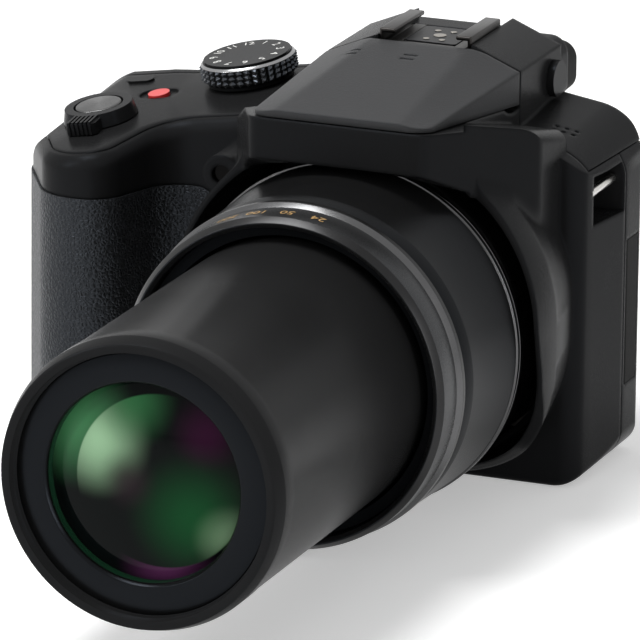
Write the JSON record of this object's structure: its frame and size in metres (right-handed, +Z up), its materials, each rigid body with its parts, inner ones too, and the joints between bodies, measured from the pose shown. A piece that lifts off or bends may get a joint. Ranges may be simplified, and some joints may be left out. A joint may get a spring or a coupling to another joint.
{
  "type": "bridge camera",
  "caption": "Digital bridge camera with a moulded grip, a pop-up flash in its hump, a hot shoe, dials and keys, and a long zoom lens whose tube slides out of its barrel.",
  "frame": {"origin": "mouth of the tripod socket in the base", "axes": "+X to the right as the camera is seen from the front, the lens looks along -Y, +Z up"},
  "size_m": [0.1306, 0.1915, 0.0943],
  "materials": {
    "shell": "fine moulded grain, matte black",
    "dark": "matte black",
    "lens_paint": "satin black",
    "grip": "leather grain",
    "eye_rubber": "soft matte",
    "steel": "satin",
    "brass": "plain",
    "shoe": "dark satin with bare edges",
    "button_metal": "turned",
    "red": "red",
    "gloss": "gloss black",
    "glass": "coated",
    "window": "clear",
    "board": "circuit board",
    "cell": "shrink sleeve",
    "reflect": "polished"
  },
  "bodies": {
    "body": {"front_shell": "shell", "rear_cover": "shell", "top_cover": "shell", "base_plate": "shell", "chassis": "steel", "grip_rubber": "grip", "thumb_rest": "grip", "tripod_socket": "steel", "case_screws": "steel", "flash_hinge_pin": "steel", "flash_capacitor": "cell", "hot_shoe": "shoe", "shoe_spring": "shoe", "shoe_contacts": "steel", "strap_lugs": "steel", "screen_panel": "dark", "screen_glass": "gloss", "eyecup": "eye_rubber", "eyepiece_lens": "glass", "viewfinder_unit": "dark", "battery": "cell", "battery_box": "dark", "memory_card": "cell", "terminal_jacks": "steel", "main_board": "board", "image_sensor": "board", "fixed_barrel": "lens_paint", "barrel_ring": "lens_paint", "aperture_unit": "dark", "zoom_motor": "steel", "guide_rods": "steel", "af_lamp": "glass"},
    "flash": {"flash_cover": "shell", "flash_reflector": "reflect", "flash_window": "window", "flash_tube": "window"},
    "tube": {"zoom_barrel": "lens_paint", "name_ring": "dark", "front_element": "glass"},
    "cam": {"cam_barrel": "dark"},
    "zoom_lenses": {"zoom_group": "glass"},
    "focus_lenses": {"focus_group": "glass"},
    "lever": {"zoom_lever": "shell"},
    "shutter": {"shutter_button": "button_metal"},
    "mode": {"mode_dial": "shell", "mode_dial_cap": "shell"},
    "power": {"power_switch": "shell"},
    "movie": {"movie_button": "red"},
    "burst": {"burst_button": "shell"},
    "wheel": {"rear_dial": "shell"},
    "cursor": {"cursor_pad": "shell"},
    "set": {"set_button": "shell"},
    "playback": {"playback_button": "shell"},
    "menu": {"menu_button": "shell"},
    "lock": {"lock_button": "shell"},
    "finder_key": {"viewfinder_button": "shell"},
    "diopter": {"diopter_dial": "shell"},
    "door": {"battery_door": "shell"},
    "latch": {"door_latch": "dark"},
    "jack_door": {"terminal_door": "eye_rubber"}
  },
  "joints": [
    {"name": "zoom", "type": "slide", "parent": "body", "child": "tube", "axis": [0, 1, 0], "range_m": [0, 0.0715]},
    {"name": "cam_turn", "type": "hinge", "parent": "body", "child": "cam", "pos_m": [0, 0, 0.0385], "axis": [0, 1, 0], "range_deg": [0, 100]},
    {"name": "zoom_lens_slide", "type": "slide", "parent": "body", "child": "zoom_lenses", "axis": [0, 1, 0], "range_m": [0, 0.0252]},
    {"name": "focus_slide", "type": "slide", "parent": "body", "child": "focus_lenses", "axis": [0, 1, 0], "range_m": [-0.006, 0.003]},
    {"name": "flash_lift", "type": "hinge", "parent": "body", "child": "flash", "pos_m": [0, -0.011, 0.0898], "axis": [-1, 0, 0], "range_deg": [0, 40]},
    {"name": "lever_turn", "type": "hinge", "parent": "body", "child": "lever", "pos_m": [-0.0727, -0.0124, 0.06872], "axis": [-0.1569, -0.1177, 0.9806], "range_deg": [-20, 20], "stiffness_Nm_per_rad": 0.05},
    {"name": "shutter_press", "type": "slide", "parent": "body", "child": "shutter", "axis": [0.1569, 0.1177, -0.9806], "range_m": [0, 0.0008], "stiffness_N_per_m": 600},
    {"name": "mode_turn", "type": "hinge", "parent": "body", "child": "mode", "pos_m": [-0.046, 0.008, 0.07541], "axis": [-0.1571, -0.0775, 0.9845], "continuous": true},
    {"name": "power_turn", "type": "hinge", "parent": "body", "child": "power", "pos_m": [-0.046, 0.008, 0.07541], "axis": [-0.1571, -0.0775, 0.9845], "range_deg": [0, 30]},
    {"name": "movie_press", "type": "slide", "parent": "body", "child": "movie", "axis": [0.1569, 0.1177, -0.9806], "range_m": [0, 0.0004], "stiffness_N_per_m": 300},
    {"name": "burst_press", "type": "slide", "parent": "body", "child": "burst", "axis": [0.1569, 0.1177, -0.9806], "range_m": [0, 0.0004], "stiffness_N_per_m": 300},
    {"name": "wheel_turn", "type": "hinge", "parent": "body", "child": "wheel", "pos_m": [-0.062, 0.0095, 0.064], "axis": [0, 0, 1], "continuous": true},
    {"name": "cursor_press", "type": "slide", "parent": "body", "child": "cursor", "axis": [0, -1, 0], "range_m": [0, 0.0004], "stiffness_N_per_m": 300},
    {"name": "set_press", "type": "slide", "parent": "body", "child": "set", "axis": [0, -1, 0], "range_m": [0, 0.0004], "stiffness_N_per_m": 300},
    {"name": "playback_press", "type": "slide", "parent": "body", "child": "playback", "axis": [0, -1, 0], "range_m": [0, 0.0004], "stiffness_N_per_m": 300},
    {"name": "menu_press", "type": "slide", "parent": "body", "child": "menu", "axis": [0, -1, 0], "range_m": [0, 0.0004], "stiffness_N_per_m": 300},
    {"name": "lock_press", "type": "slide", "parent": "body", "child": "lock", "axis": [0, -1, 0], "range_m": [0, 0.0004], "stiffness_N_per_m": 300},
    {"name": "finder_press", "type": "slide", "parent": "body", "child": "finder_key", "axis": [0, -1, 0], "range_m": [0, 0.0004], "stiffness_N_per_m": 300},
    {"name": "diopter_turn", "type": "hinge", "parent": "body", "child": "diopter", "pos_m": [0.022, 0.012, 0.082], "axis": [1, 0, 0], "range_deg": [-90, 90]},
    {"name": "door_swing", "type": "hinge", "parent": "body", "child": "door", "pos_m": [-0.0515, 0, 0.001], "axis": [0, -1, 0], "range_deg": [0, 95]},
    {"name": "latch_slide", "type": "slide", "parent": "door", "child": "latch", "axis": [1, 0, 0], "range_m": [0, 0.0014]},
    {"name": "jack_door_swing", "type": "hinge", "parent": "body", "child": "jack_door", "pos_m": [0.04135, 0.00565, 0.034], "axis": [0, 0, -1], "range_deg": [0, 100]}
  ],
  "couplings": [
    {"joint": "cam_turn", "follows": "zoom", "rad_per_m": 24},
    {"joint": "zoom_lens_slide", "follows": "zoom", "ratio": 0.35}
  ]
}
